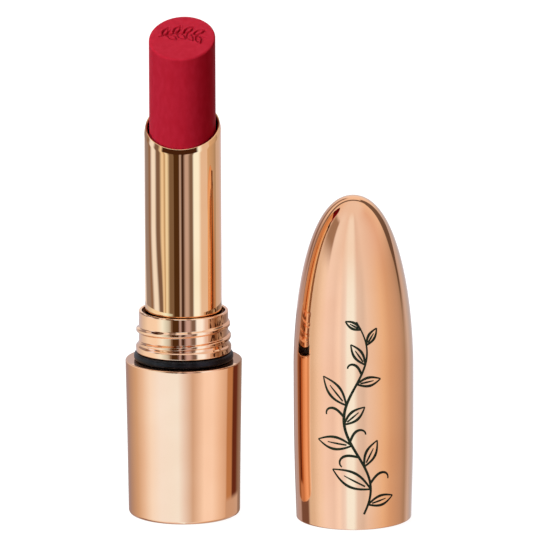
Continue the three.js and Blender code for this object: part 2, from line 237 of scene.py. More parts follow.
def press_tree():
    """Presses the lines of a flat emblem down into whatever lies above a height."""
    sizes = {"Emblem": "Object", "Depth": "Float", "Half width": "Float", "Above": "Float"}
    tree, given = start_geometry_tree("pressed emblem", sizes)
    lines = tree.add("GeometryNodeObjectInfo", {"Object": given["Emblem"]}).outputs["Geometry"]
    x, y, z = tree.split(tree.add("GeometryNodeInputPosition").outputs[0])
    near = tree.add("GeometryNodeProximity", target_element="EDGES")
    tree.feed(near.inputs[0], lines)
    tree.feed(near.inputs["Sample Position"], tree.join(x, y, 0.0))
    floor = tree.sum("MULTIPLY", given["Half width"], 0.3)
    away = tree.step(near.outputs["Distance"], floor, given["Half width"])
    lip = tree.sum("MULTIPLY", given["Half width"], 1.9)
    ring = tree.sum("SUBTRACT", 1, tree.step(near.outputs["Distance"], given["Half width"], lip))
    swell = tree.sum("MULTIPLY", tree.sum("MULTIPLY", away, ring), 0.1)
    down = tree.sum("SUBTRACT", tree.sum("SUBTRACT", 1, away), swell)
    on_face = tree.sum("GREATER_THAN", z, given["Above"])
    drop = tree.sum("MULTIPLY", tree.sum("MULTIPLY", down, given["Depth"]), on_face)
    moved = move_points(tree, given["Geometry"], tree.join(x, y, tree.sum("SUBTRACT", z, drop)))
    return end_geometry_tree(tree, moved, given["Material"])


def stroke_tree():
    """Sweeps a round nib along lines, as wide at each point as its 'nib' attribute says."""
    tree, given = start_geometry_tree("inked line", {"Nib": "Float"})
    curve = tree.add("GeometryNodeMeshToCurve", {"Mesh": given["Geometry"]}).outputs[0]
    width = tree.add("GeometryNodeInputNamedAttribute", {"Name": "nib"}, data_type="FLOAT").outputs[0]
    scale = tree.sum("MULTIPLY", width, given["Nib"])
    nib = tree.add("GeometryNodeCurvePrimitiveCircle", {"Resolution": 10, "Radius": 1.0}).outputs[0]
    inputs = {"Curve": curve, "Profile Curve": nib, "Scale": scale, "Fill Caps": True}
    sweep = tree.add("GeometryNodeCurveToMesh", inputs).outputs[0]
    return end_geometry_tree(tree, sweep, given["Material"])


LATHE = lathe_tree()
SLANTED = slant_tree()
SCREW = screw_tree()
PRESSED = press_tree()
STROKE = stroke_tree()


def shape_with(thing, tree, material, **values):
    """Adds one tree as a modifier, with its inputs set by their sockets' identifiers."""
    modifier = thing.modifiers.new(tree.name, "NODES")
    modifier.node_group = tree
    values["Material"] = material
    for socket in tree.interface.items_tree:
        label = socket.name.replace(" ", "_")
        if socket.in_out == "INPUT" and label in values:
            modifier[socket.identifier] = values[label]


def settle(thing, name, place=Vector()):
    """Turns a helper and its modifiers into a plain mesh object with its place in its mesh."""
    evaluated = thing.evaluated_get(bpy.context.evaluated_depsgraph_get())
    mesh = bpy.data.meshes.new_from_object(evaluated)
    mesh.name = name
    mesh.transform(Matrix.Translation(place))
    bpy.data.objects.remove(thing)
    piece = bpy.data.objects.new(name, mesh)
    bpy.context.scene.collection.objects.link(piece)
    return piece


def lines_object(name, lines):
    """A mesh of loose lines, each a list of points."""
    points = [point for line in lines for point in line]
    edges = []
    first = 0
    for line in lines:
        edges += [(i, i + 1) for i in range(first, first + len(line) - 1)]
        first += len(line)
    mesh = bpy.data.meshes.new(name)
    mesh.from_pydata(points, edges, [])
    thing = bpy.data.objects.new(name, mesh)
    bpy.context.scene.collection.objects.link(thing)
    return thing


# ---- outlines ----------------------------------------------------------------------------------
def corner(radius, height, rounding=0.0, spacing=None):
    """A corner of an outline; spacing says how closely to set points along the run after it."""
    return Vector((radius, height)), rounding, spacing


def round_corner(before, at, after, rounding):
    """Points of the arc that rounds a corner off."""
    if rounding == 0:
        return [at]
    towards = (before - at).normalized()
    away = (after - at).normalized()
    half = towards.angle(away) / 2
    centre = at + (towards + away).normalized() * (rounding / math.sin(half))
    reach = rounding / math.tan(half)
    first = at + towards * reach - centre
    last = at + away * reach - centre
    sweep = first.angle_signed(last)
    steps = max(3, round(abs(sweep) / math.radians(9)))
    turn = [Matrix.Rotation(-sweep * i / steps, 2) for i in range(steps + 1)]
    return [centre + matrix @ first for matrix in turn]


def straight_run(first, last, spacing):
    """Points between two ends: close to both, so that flats stay flat, and evenly if asked."""
    length = (last - first).length
    hold = min(0.06, length / 4)
    shares = [hold / length, 1 - hold / length]
    if spacing:
        count = max(2, round(length / spacing))
        shares = [i / count for i in range(1, count)]
    return [first.lerp(last, share) for share in shares]


def outline(corners, closed=True):
    """The points of a whole outline, in order, from its corners."""
    count = len(corners)
    arcs = []
    for i, (at, rounding, _) in enumerate(corners):
        loose_end = not closed and i in (0, count - 1)
        before = corners[i - 1][0]
        after = corners[(i + 1) % count][0]
        arcs.append([at] if loose_end else round_corner(before, at, after, rounding))
    points = []
    for i, arc in enumerate(arcs):
        points += arc
        if closed or i < count - 1:
            points += straight_run(arc[-1], arcs[(i + 1) % count][0], corners[i][2])
    if closed:
        points.append(points[0])
    return points


def turned(name, points, material, sides=160, place=Vector(), also=()):
    """Spins an outline of millimetre points, then applies any further trees, as one mesh."""
    line = [(point[0] * MM, 0, point[1] * MM) for point in points]
    thing = lines_object(name + "_outline", [line])
    shape_with(thing, LATHE, material, Sides=sides)
    for tree, values in also:
        shape_with(thing, tree, material, **values)
    return settle(thing, name, place)


def stands_for(piece, body, node):
    """The piece rides on a body and replaces its CAD node, which is hidden."""
    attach(piece, body)
    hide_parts(node)
    return piece


# ---- finishes ----------------------------------------------------------------------------------
def start_finish(name):
    material = bpy.data.materials.new(name)
    material.use_nodes = True
    material.node_tree.nodes.clear()
    tree = Tree(material.node_tree)
    shader = tree.add("ShaderNodeBsdfPrincipled")
    tree.add("ShaderNodeOutputMaterial", {"Surface": shader.outputs[0]})
    place = tree.add("ShaderNodeTexCoord").outputs["Object"]
    return material, tree, shader, place


def grain(tree, place, scale, detail=3.0, stretch=(1, 1, 1)):
    """Noise, optionally stretched along an axis."""
    moved = tree.add("ShaderNodeMapping", {"Vector": place, "Scale": stretch}).outputs[0]
    inputs = {"Vector": moved, "Scale": scale, "Detail": detail}
    return tree.add("ShaderNodeTexNoise", inputs).outputs[0]


def set_bump(tree, shader, height, strength, depth):
    inputs = {"Height": height, "Strength": strength, "Distance": depth}
    tree.feed(shader.inputs["Normal"], tree.add("ShaderNodeBump", inputs).outputs[0])


def plated_metal(name, bright, deep, roughness, rub_low, rub_high):
    """Polished anodised metal: a breath of colour drift, faint turning lines, handling haze
    and rubbed patches between two heights."""
    material, tree, shader, place = start_finish(name)
    drift = grain(tree, place, 90, 2)
    tint = tree.blend(tree.step(drift, 0.3, 0.7), colour(*deep), colour(*bright))
    tree.feed(shader.inputs["Base Color"], tint)
    shader.inputs["Metallic"].default_value = 1
    haze = tree.step(grain(tree, place, 260, 5), 0.52, 0.74)
    scuffs = tree.step(grain(tree, place, 2400, 2, (1, 1, 0.08)), 0.66, 0.74)
    height = tree.split(place)[2]
    rubbed = tree.sum("SUBTRACT", 1, tree.step(height, rub_low * MM, rub_high * MM))
    wear = tree.sum("MULTIPLY", scuffs, tree.sum("ADD", tree.sum("MULTIPLY", rubbed, 0.10), 0.012))
    dull = tree.sum("ADD", tree.sum("MULTIPLY", haze, 0.018), wear)
    tree.feed(shader.inputs["Roughness"], tree.sum("ADD", dull, roughness))
    lathe_lines = grain(tree, place, 900, 2, (0.02, 0.02, 3))
    set_bump(tree, shader, lathe_lines, 0.02, 0.02 * MM)
    return material


def pomade_finish():
    """Matte lipstick: velvety, finely pitted by the mould, with a faint bloom of lighter wax."""
    material, tree, shader, place = start_finish("crimson_pomade")
    bloom = tree.step(grain(tree, place, 1100, 4, (1, 1, 0.5)), 0.3, 0.75)
    tint = tree.blend(bloom, colour(0.39, 0.011, 0.027), colour(0.43, 0.016, 0.036))
    tree.feed(shader.inputs["Base Color"], tint)
    shader.inputs["Subsurface Weight"].default_value = 0.06
    shader.inputs["Subsurface Radius"].default_value = (1.0, 0.1, 0.1)
    shader.inputs["Subsurface Scale"].default_value = 0.25 * MM
    shader.inputs["Sheen Weight"].default_value = 0.03
    shader.inputs["Sheen Roughness"].default_value = 0.45
    shader.inputs["Sheen Tint"].default_value = colour(1, 0.5, 0.55)
    shader.inputs["Specular IOR Level"].default_value = 0.03
    pits = grain(tree, place, 5200, 3)
    tree.feed(shader.inputs["Roughness"], tree.sum("ADD", tree.sum("MULTIPLY", pits, 0.16), 0.42))
    flow = grain(tree, place, 700, 2, (1, 1, 0.12))
    relief = tree.sum("ADD", tree.sum("MULTIPLY", pits, 0.5), tree.sum("MULTIPLY", flow, 0.6))
    set_bump(tree, shader, relief, 0.15, 0.03 * MM)
    return material


def rubber_finish():
    """Black seal: satin, with moulding bloom and dust in the pores."""
    material, tree, shader, place = start_finish("black_seal_rubber")
    bloom = tree.step(grain(tree, place, 800, 4), 0.4, 0.75)
    tint = tree.blend(bloom, colour(0.004, 0.004, 0.004), colour(0.012, 0.012, 0.013))
    tree.feed(shader.inputs["Base Color"], tint)
    tree.feed(shader.inputs["Roughness"], tree.sum("ADD", tree.sum("MULTIPLY", bloom, 0.15), 0.3))
    shader.inputs["Specular IOR Level"].default_value = 0.16
    set_bump(tree, shader, grain(tree, place, 4000, 3), 0.15, 0.02 * MM)
    return material


def moulded_plastic(name, light, dark, roughness):
    """Moulded plastic with flow marks and a finely sparked surface."""
    material, tree, shader, place = start_finish(name)
    flow = tree.step(grain(tree, place, 300, 3, (1, 1, 0.3)), 0.35, 0.7)
    tree.feed(shader.inputs["Base Color"], tree.blend(flow, colour(*dark), colour(*light)))
    sparked = grain(tree, place, 6000, 2)
    tree.feed(shader.inputs["Roughness"], tree.sum("ADD", tree.sum("MULTIPLY", sparked, 0.12), roughness))
    set_bump(tree, shader, sparked, 0.1, 0.02 * MM)
    return material


def turned_steel():
    """Bare steel with rings left by the lathe."""
    material, tree, shader, place = start_finish("turned_steel")
    radius, _, height = round_place(tree, place)
    rings = grain(tree, tree.join(radius, height, 0.0), 9000, 2)
    tint = tree.blend(rings, colour(0.42, 0.43, 0.45), colour(0.66, 0.67, 0.68))
    tree.feed(shader.inputs["Base Color"], tint)
    shader.inputs["Metallic"].default_value = 1
    tree.feed(shader.inputs["Roughness"], tree.sum("ADD", tree.sum("MULTIPLY", rings, 0.25), 0.25))
    set_bump(tree, shader, rings, 0.2, 0.02 * MM)
    return material


def green_ink():
    """Dark-green printed ink, a little uneven in thickness."""
    material, tree, shader, place = start_finish("dark_green_ink")
    patch = tree.step(grain(tree, place, 1500, 3), 0.35, 0.7)
    tint = tree.blend(patch, colour(0.006, 0.012, 0.004), colour(0.012, 0.022, 0.007))
    tree.feed(shader.inputs["Base Color"], tint)
    tree.feed(shader.inputs["Roughness"], tree.sum("ADD", tree.sum("MULTIPLY", patch, 0.15), 0.5))
    shader.inputs["Specular IOR Level"].default_value = 0.15
    set_bump(tree, shader, patch, 0.1, 0.01 * MM)
    return material


ROSE_BRIGHT = (0.93, 0.535, 0.305)
ROSE_DEEP = (0.91, 0.505, 0.28)
GOLD_BRIGHT = (0.93, 0.575, 0.29)
GOLD_DEEP = (0.91, 0.55, 0.265)

BASE_METAL = plated_metal("rose_gold_base", ROSE_BRIGHT, ROSE_DEEP, 0.05, 0, 6)
COLLAR_METAL = plated_metal("rose_gold_collar", (0.94, 0.57, 0.325), ROSE_BRIGHT, 0.04, 30, 38)
CAP_METAL = plated_metal("rose_gold_cap", ROSE_BRIGHT, ROSE_DEEP, 0.05, 0, 5)
TUBE_METAL = plated_metal("pale_gold_tube", GOLD_BRIGHT, GOLD_DEEP, 0.015, 38, 44)
POMADE = pomade_finish()
SEAL_RUBBER = rubber_finish()
WHITE_PLASTIC = moulded_plastic("white_mechanism_plastic", (0.80, 0.78, 0.73), (0.72, 0.70, 0.65), 0.4)
LINER_PLASTIC = moulded_plastic("white_liner_plastic", (0.82, 0.80, 0.76), (0.76, 0.74, 0.69), 0.25)
NYLON = moulded_plastic("greased_nylon", (0.72, 0.68, 0.58), (0.62, 0.57, 0.47), 0.3)
BLACK_PLASTIC = moulded_plastic("black_base_plastic", (0.035, 0.033, 0.033), (0.022, 0.02, 0.02), 0.45)
DARK_NYLON = moulded_plastic("dark_friction_nylon", (0.05, 0.035, 0.03), (0.03, 0.02, 0.018), 0.4)
LABEL_FILM = moulded_plastic("plain_label_film", (0.84, 0.80, 0.76), (0.80, 0.76, 0.72), 0.3)
STEEL = turned_steel()
INK = green_ink()


# ---- pieces of the base ------------------------------------------------------------------------
def base_shell():
    """Drawn sleeve: flat shoulder, a slight flare towards the shoulder and a rolled-in foot."""
    foot, top = BASE_FOOT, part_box("base_shell")[1].x / MM
    corners = [
        corner(8.9, 0.0, 0.08),
        corner(foot, 0.0, 0.75),
        corner(foot + (top - foot) * 0.42, SHOULDER * 0.5, 40.0, 0.8),
        corner(top, SHOULDER, 0.22),
        corner(8.2, SHOULDER, 0.1),
        corner(8.2, SHOULDER - 0.7),
        corner(9.7, SHOULDER - 0.7, 0.3),
        corner(9.7, 1.5, 0.3),
        corner(8.9, 0.8, 0.1),
    ]
    piece = turned("base_shell_polished", outline(corners), BASE_METAL, 224)
    return stands_for(piece, "case", "base_shell")


def base_plug():
    corners = [
        corner(0, 0.25),
        corner(7.8, 0.25, 0.05),
        corner(7.8, 0.0, 0.08),
        corner(8.8, 0.0, 0.15),
        corner(8.8, 1.8, 0.1),
        corner(0, 1.8),
    ]
    piece = turned("base_plug_moulded", outline(corners, closed=False), BLACK_PLASTIC, 128)
    return stands_for(piece, "case", "base_plug")


def shade_label():
    corners = [corner(0, 0.0), corner(7.7, 0.0, 0.04), corner(7.7, 0.2, 0.04), corner(0, 0.2)]
    piece = turned("shade_label_film", outline(corners, closed=False), LABEL_FILM, 128)
    return stands_for(piece, "case", "shade_label")


def screw_values(wall, low, high, height, front):
    """Inputs of the screw ridge, in metres and turns."""
    start, end = [(angle + 90) / 360 for angle in THREAD_TURN]
    return {
        "Wall": wall * MM,
        "Low": low * MM,
        "High": high * MM,
        "Height": height * MM,
        "Half_width": THREAD["half width"] * MM,
        "Pitch": THREAD["pitch"] * MM,
        "Front_height": front * MM,
        "Start": start,
        "End": end,
    }


def thread_collar():
    """Collar with a bead over the seal and a single screw ridge up its wall."""
    bead_low, bead_top, bead = 30.4, 31.9, 8.71
    corners = [
        corner(7.6, SHOULDER - 1.4),
        corner(9.5, SHOULDER - 1.4, 0.1),
        corner(9.5, SHOULDER - 0.8, 0.1),
        corner(8.1, SHOULDER - 0.8, 0.1),
        corner(8.1, bead_low, 0.1),
        corner(bead, bead_low, 0.3),
        corner(bead, bead_top - 0.35, 0.35),
        corner(COLLAR_RADIUS + 0.2, bead_top, 0.25),
        corner(COLLAR_RADIUS, bead_top + 0.45, 0.25, 0.06),
        corner(COLLAR_RADIUS, COLLAR_RIM, 0.26),
        corner(7.6, COLLAR_RIM, 0.16),
    ]
    height, front = THREAD["height"], THREAD["front height"]
    ridge = screw_values(COLLAR_RADIUS, bead_top, COLLAR_RIM - 0.3, height, front)
    points = outline(corners)
    piece = turned("thread_collar_polished", points, COLLAR_METAL, 320, also=[(SCREW, ridge)])
    return stands_for(piece, "case", "thread_collar")


def seal_ring():
    low = SHOULDER + 0.02
    corners = [
        corner(8.25, low, 0.15),
        corner(9.08, low, 0.5),
        corner(9.08, low + 1.4, 0.62),
        corner(8.25, low + 1.4, 0.15),
    ]
    piece = turned("seal_ring_rubber", outline(corners), SEAL_RUBBER, 192)
    return stands_for(piece, "case", "seal_ring")


# ---- the tube and the lipstick -----------------------------------------------------------------
def lipstick_tube():
    """Tube with a flared foot; its rim has a thin rounded lip and follows the lipstick's cut."""
    corners = [
        corner(7.05, 29.0, 0.1),
        corner(7.42, 29.0, 0.1),
        corner(7.42, 34.9, 0.3),
        corner(TUBE_RADIUS, 35.4, 0.3),
        corner(TUBE_RADIUS, RIM_HEIGHT - 0.9, 1.2),
        corner(TUBE_RADIUS - 0.23, RIM_HEIGHT, 0.13),
        corner(6.45, RIM_HEIGHT, 0.16, 0.5),
        corner(6.45, 35.3, 0.2),
        corner(7.05, 34.7, 0.1),
    ]
    lean = {"Slope": math.tan(SLANT), "From": 55 * MM, "To": (RIM_HEIGHT - 1.2) * MM}
    points = outline(corners)
    piece = turned("lipstick_tube_polished", points, TUBE_METAL, 256, also=[(SLANTED, lean)])
    return stands_for(piece, "tube", "lipstick_tube")


def leaf_line(root, tip, belly, count=14):
    """One side of a leaf: an arc from root to tip that bulges by belly."""
    side = Vector((-(tip - root).y, (tip - root).x)).normalized()
    shares = [i / count for i in range(count + 1)]
    return [root.lerp(tip, share) + side * (belly * math.sin(math.pi * share)) for share in shares]


def emblem_lines():
    """A small olive branch across the cut: a gently curved stem with leaves on both sides."""

    def stem_at(share):
        return Vector((-4.2 + 8.4 * share, 0.2 + 1.1 * math.sin(math.pi * share)))

    lines = [[stem_at(i / 40) for i in range(41)]]
    left_leaves = [(share, 1) for share in (0.08, 0.3, 0.52, 0.74)]
    right_leaves = [(share, -1) for share in (0.16, 0.38, 0.6, 0.82)]
    for share, side in sorted(left_leaves + right_leaves):
        root = stem_at(share)
        ahead = (stem_at(share + 0.02) - root).normalized()
        tip = root + Matrix.Rotation(math.radians(side * 50), 2) @ ahead * 2.35
        lines += [leaf_line(root, tip, 0.5), leaf_line(root, tip, -0.5)]
    turn = Matrix.Rotation(SLANT_TURN, 2)
    return [[turn @ point for point in line] for line in lines]


def lipstick():
    """Slant-cut pomade with a softened edge and an emblem pressed into the cut."""
    lines = [[(p.x * MM, p.y * MM, 0) for p in line] for line in emblem_lines()]
    emblem = lines_object("emblem_lines", lines)
    corners = [
        corner(0, 59.1),
        corner(5.5, 59.1, 0.3),
        corner(5.5, 66.0, 0.2),
        corner(LIPSTICK_RADIUS, 66.4, 0.3),
        corner(LIPSTICK_RADIUS, CUT_HEIGHT, 0.35, 0.062),
        corner(0, CUT_HEIGHT),
    ]
    lean = {"Slope": math.tan(SLANT), "From": 72 * MM, "To": (CUT_HEIGHT - 0.6) * MM}
    press = {
        "Emblem": emblem,
        "Depth": 0.5 * MM,
        "Half_width": 0.24 * MM,
        "Above": (CUT_HEIGHT - 0.05) * MM,
    }
    points = outline(corners, closed=False)
    also = [(PRESSED, press), (SLANTED, lean)]
    piece = turned("lipstick_pomade", points, POMADE, 448, also=also)
    bpy.data.objects.remove(emblem)
    return stands_for(piece, "lift", "lipstick")


# ---- the cap -----------------------------------------------------------------------------------
def bezier(points, share):
    """A point on the cubic curve through two ends with two pulls."""
    a, b, c, d = points
    rest = 1 - share
    return a * rest**3 + b * (3 * rest**2 * share) + c * (3 * rest * share**2) + d * share**3


CAP_LOWER = [
    Vector((CAP_MOUTH, 0)),
    Vector((CAP_MOUTH + 0.27, 9.6)),
    Vector((CAP_WIDEST, CAP_WIDEST_HEIGHT - 17.3)),
    Vector((CAP_WIDEST, CAP_WIDEST_HEIGHT)),
]
CAP_UPPER = [
    Vector((CAP_WIDEST, CAP_WIDEST_HEIGHT)),
    Vector((CAP_WIDEST, CAP_WIDEST_HEIGHT + 10.2)),
    Vector((8.8, CAP_HEIGHT)),
    Vector((0, CAP_HEIGHT)),
]


def cap_outline_points():
    """The cap's outside from just above its mouth to its tip."""
    lower = [bezier(CAP_LOWER, i / 40) for i in range(1, 41)]
    upper = [bezier(CAP_UPPER, i / 90) for i in range(1, 91)]
    return lower + upper


def cap_radius(height):
    """The cap's outer radius at a height, found by halving."""
    curve = CAP_LOWER if height < CAP_WIDEST_HEIGHT else CAP_UPPER
    low, high = 0.0, 1.0
    for _ in range(40):
        middle = (low + high) / 2
        if bezier(curve, middle).y < height:
            low = middle
        else:
            high = middle
    return bezier(curve, low).x


def cap_shell():
    wall = 0.8
    outside = cap_outline_points()
    inside = []
    for before, at in zip(outside, outside[1:]):
        along = (at - before).normalized()
        inside.append(at + Vector((-along.y, along.x)) * wall)
    inside = [point for point in inside if point.x > 0.6][::-2]
    tip = Vector((0, CAP_HEIGHT - wall))
    lip = outline(
        [
            corner(inside[-1].x, inside[-1].y),
            corner(CAP_MOUTH - wall, 0.0, 0.2),
            corner(CAP_MOUTH, 0.0, 0.3),
            corner(outside[0].x, outside[0].y),
        ],
        closed=False,
    )
    points = outside + [tip] + inside[:-1] + lip
    piece = turned("cap_shell_polished", points, CAP_METAL, 288, CAP_AXIS)
    return stands_for(piece, "cap", "cap_shell")


def cap_liner():
    """Liner with a wide throat for the seal, a female thread and a domed end."""
    bore, throat, upper, head = 8.9, 9.25, 7.75, 50.2
    step, thread_top, outer = 10.4, 8.8, 9.6
    corners = [
        corner(throat, 0.4, 0.15),
        corner(outer, 0.4, 0.1),
        corner(outer, step, 0.5),
        corner(upper + 0.75, step + 2, 1.0),
        corner(upper + 0.75, head - 4.6, 3.5),
        corner(5.4, head, 3.0),
        corner(0, head),
        corner(0, head - 0.75),
        corner(5.0, head - 0.75, 2.6),
        corner(upper, head - 5.2, 3.0),
        corner(upper, step + 1, 1.0),
        corner(bore, thread_top, 0.5, 0.09),
        corner(bore, 2.2, 0.15),
        corner(throat, 1.8, 0.15),
    ]
    ridge = screw_values(bore, 2.6, thread_top - 0.4, -0.45, 5.1)
    ridge["Start"], ridge["End"] = -0.7, 0.6
    points = outline(corners)
    piece = turned("cap_liner_moulded", points, LINER_PLASTIC, 224, CAP_AXIS, [(SCREW, ridge)])
    return stands_for(piece, "cap", "cap_liner")


def sprig_lines():
    """A flowing vine drawn flat, across by height in millimetres, with the nib's width along it."""
    lines = []

    def stroke(points, start=1.0, middle=1.0, end=0.55):
        count = len(points) - 1
        widths = []
        for i in range(count + 1):
            share = i / count
            swell = (middle - start) * min(1, 2 * share)
            taper = (end - middle) * max(0, 2 * share - 1)
            widths.append(start + swell + taper)
        lines.append((points, widths))

    def stem_at(share):
        height = 3.0 + 36.0 * share
        return Vector((0.9 + 2.3 * math.sin(2 * math.pi * share * 1.4 + 0.4) - 0.9 * share, height))

    stroke([stem_at(i / 90) for i in range(91)], 0.8, 1.05, 0.5)

    def leaf(share, side, length, lean):
        root = stem_at(share)
        ahead = (stem_at(share + 0.01) - root).normalized()
        direction = Matrix.Rotation(math.radians(side * lean), 2) @ ahead
        tip = root + direction * length
        stroke(leaf_line(root, tip, length * 0.17), 0.7, 1.0, 0.5)
        stroke(leaf_line(root, tip, -length * 0.17), 0.7, 1.0, 0.5)
        stroke([root.lerp(tip, 0.15 + 0.55 * i / 8) for i in range(9)], 0.6, 0.7, 0.35)

    def tendril(share, side, length):
        point = stem_at(share)
        ahead = (stem_at(share + 0.01) - point).normalized()
        heading = Matrix.Rotation(math.radians(side * 50), 2) @ ahead
        points = [point]
        for i in range(40):
            heading = Matrix.Rotation(math.radians(side * (0.25 * i - 1)), 2) @ heading
            points.append(points[-1] + heading * (length / 40))
        stroke(points, 0.9, 1.0, 0.55)

    places = [(0.05, -1, 5.2, 58), (0.13, 1, 8.0, 60), (0.25, -1, 5.4, 55), (0.36, 1, 6.6, 55)]
    places += [(0.47, -1, 5.0, 55), (0.57, 1, 6.8, 60), (0.68, -1, 4.6, 52), (0.78, 1, 4.6, 50)]
    places += [(0.88, -1, 3.6, 45), (0.96, 1, 3.2, 35)]
    for share, side, length, lean in places:
        leaf(share, side, length, lean)
    places = [(0.16, -1, 5.2), (0.3, 1, 5.2), (0.38, -1, 4.6), (0.51, 1, 4.8), (0.73, 1, 4.0)]
    for share, side, length in places:
        tendril(share, side, length)
    return lines


def printed_sprig():
    """The vine inked on the cap's front: swept by a nib, then pressed flat onto the metal."""
    drawn = sprig_lines()
    lines = []
    widths = []
    for points, nibs in drawn:
        line = []
        for point in points:
            radius = cap_radius(point.y)
            angle = point.x / radius - math.pi / 2
            line.append((radius * math.cos(angle) * MM, radius * math.sin(angle) * MM, point.y * MM))
        lines.append(line)
        widths += nibs
    thing = lines_object("sprig_lines", lines)
    attribute = thing.data.attributes.new("nib", "FLOAT", "POINT")
    attribute.data.foreach_set("value", widths)
    shape_with(thing, STROKE, INK, Nib=0.27 * MM)
    piece = settle(thing, "printed_sprig")
    thickness = 0.18
    for vertex in piece.data.vertices:
        flat = Vector((vertex.co.x, vertex.co.y))
        surface = cap_radius(vertex.co.z / MM) * MM
        radius = surface + (flat.length - surface) * thickness
        vertex.co.x, vertex.co.y = flat.normalized() * radius
    piece.data.transform(Matrix.Translation(CAP_AXIS))
    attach(piece, "cap")
    return piece


# ---- the hidden mechanism keeps its CAD shapes and gets its materials --------------------------
def dress(node, material):
    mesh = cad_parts[node].data
    mesh.materials.clear()
    mesh.materials.append(material)


def dress_mechanism():
    finishes = {
        "base_weight": STEEL,
        "inner_base": WHITE_PLASTIC,
        "spiral_sleeve": NYLON,
        "friction_ring": DARK_NYLON,
        "guide_sleeve": WHITE_PLASTIC,
        "lifter": WHITE_PLASTIC,
        "lipstick_cup": WHITE_PLASTIC,
    }
    for node, material in finishes.items():
        dress(node, material)


# ---- the studio --------------------------------------------------------------------------------
FLOOR_HEIGHT = -0.0002  # metres: a hair under the feet, so that the two never share a face
ROOM_RADIUS = 1.9
AIM = Vector((16.2, 0, 45.07)) * MM
CAMERA_DISTANCE = 2.8
CAMERA_HEIGHT_ANGLE = math.radians(13.2)
FRAME_WIDTH = 99.3 * MM  # what the picture spans at the aim point
FRAME_ROLL = math.radians(-0.22)


def make_camera():
    data = bpy.data.cameras.new("camera")
    data.sensor_width = 36
    data.lens = data.sensor_width * CAMERA_DISTANCE / FRAME_WIDTH
    data.clip_start = 0.05
    camera = bpy.data.objects.new("camera", data)
    bpy.context.scene.collection.objects.link(camera)
    back = Vector((0, -math.cos(CAMERA_HEIGHT_ANGLE), math.sin(CAMERA_HEIGHT_ANGLE)))
    camera.location = AIM + back * CAMERA_DISTANCE
    turn = (-back).to_track_quat("-Z", "Y").to_matrix() @ Matrix.Rotation(FRAME_ROLL, 3, "Z")
    camera.rotation_euler = turn.to_euler()
    bpy.context.scene.camera = camera


def stage_mesh(name, rings, material, sides=96, reach=(0, 360)):
    """A surface of rings, each (radius, height) in metres, about the base's axis."""
    whole = reach[1] - reach[0] == 360
    columns = sides if whole else sides + 1
    points = []
    for radius, height in rings:
        for i in range(columns):
            angle = math.radians(reach[0] + (reach[1] - reach[0]) * i / sides)
            points.append((radius * math.sin(angle), -radius * math.cos(angle), height))
    faces = []
    for row in range(len(rings) - 1):
        for i in range(sides):
            after = (i + 1) % columns
            low, high = row * columns, (row + 1) * columns
            faces.append([low + i, low + after, high + after, high + i])
    mesh = bpy.data.meshes.new(name)
    mesh.from_pydata(points, [], faces)
    mesh.shade_smooth()
    mesh.materials.append(material)
    thing = bpy.data.objects.new(name, mesh)
    bpy.context.scene.collection.objects.link(thing)
    return thing


def glowing(name, light, strength, seen=None):
    """A light-giving surface; where it isn't seen it is clear."""
    material = bpy.data.materials.new(name)
    material.use_nodes = True
    material.node_tree.nodes.clear()
    tree = Tree(material.node_tree)
    light = light(tree) if callable(light) else light
    shine = tree.add("ShaderNodeEmission", {"Color": light, "Strength": strength}).outputs[0]
    if seen:
        clear = tree.add("ShaderNodeBsdfTransparent").outputs[0]
        mix = tree.add("ShaderNodeMixShader", {0: seen(tree)})
        tree.feed(mix.inputs[1], clear)
        tree.feed(mix.inputs[2], shine)
        shine = mix.outputs[0]
    tree.add("ShaderNodeOutputMaterial", {"Surface": shine})
    return material


def hide_from(thing, *rays):
    for ray in rays:
        setattr(thing, "visible_" + ray, False)


def seen_from_within(tree):
    return tree.add("ShaderNodeNewGeometry").outputs["Backfacing"]


def pale_floor():
    """A glowing white table, which keeps only a trace of the shadows that fall on it."""
    material, tree, shader, _ = start_finish("pale_floor")
    shader.inputs["Base Color"].default_value = colour(0.25, 0.25, 0.25)
    shader.inputs["Roughness"].default_value = 0.9
    shader.inputs["Specular IOR Level"].default_value = 0.0
    shader.inputs["Emission Color"].default_value = colour(1, 1, 1)
    shader.inputs["Emission Strength"].default_value = 0.93
    rings = [(radius, FLOOR_HEIGHT) for radius in (ROOM_RADIUS, 0.5, 0.1, 0.0)]
    floor = stage_mesh("floor", rings, material)
    hide_from(floor, "diffuse", "glossy")
    glow = glowing("pale_wall", colour(1, 1, 1), 1.0, seen_from_within)
    rings = [(ROOM_RADIUS, FLOOR_HEIGHT), (1.93, 0.02), (1.95, 0.1), (1.95, 4.0)]
    wall = stage_mesh("wall", rings, glow)
    hide_from(wall, "diffuse", "glossy", "shadow", "transmission")


def soft_lamp(name, place, size, power, tint=(1, 1, 1)):
    """A soft lamp that lights matte surfaces and leaves the polish to the studio round it."""
    data = bpy.data.lights.new(name, "AREA")
    data.shape = "RECTANGLE"
    data.size, data.size_y = size
    data.energy = power
    data.color = tint
    lamp = bpy.data.objects.new(name, data)
    bpy.context.scene.collection.objects.link(lamp)
    lamp.location = place
    lamp.rotation_euler = (Vector(place) - AIM).to_track_quat("Z", "Y").to_euler()
    lamp.visible_glossy = False
    lamp.visible_camera = False


def turn_share(tree, x, y):
    """The turn about Z as 0 to 1, with 0.5 in front and 0.75 at the cap's side."""
    turn = tree.sum("ARCTAN2", x, tree.sum("MULTIPLY", y, -1))
    return tree.sum("ADD", tree.sum("DIVIDE", turn, 2 * math.pi), 0.5)


def share_of(turn, place=lambda turn: turn):
    """A turn in degrees as a share; place says where on a ring of cards the turn is mirrored."""
    return 0.5 + place(turn) / 360


def round_stops(stops, place=lambda turn: turn):
    return [(share_of(turn, place), light) for turn, light in stops]


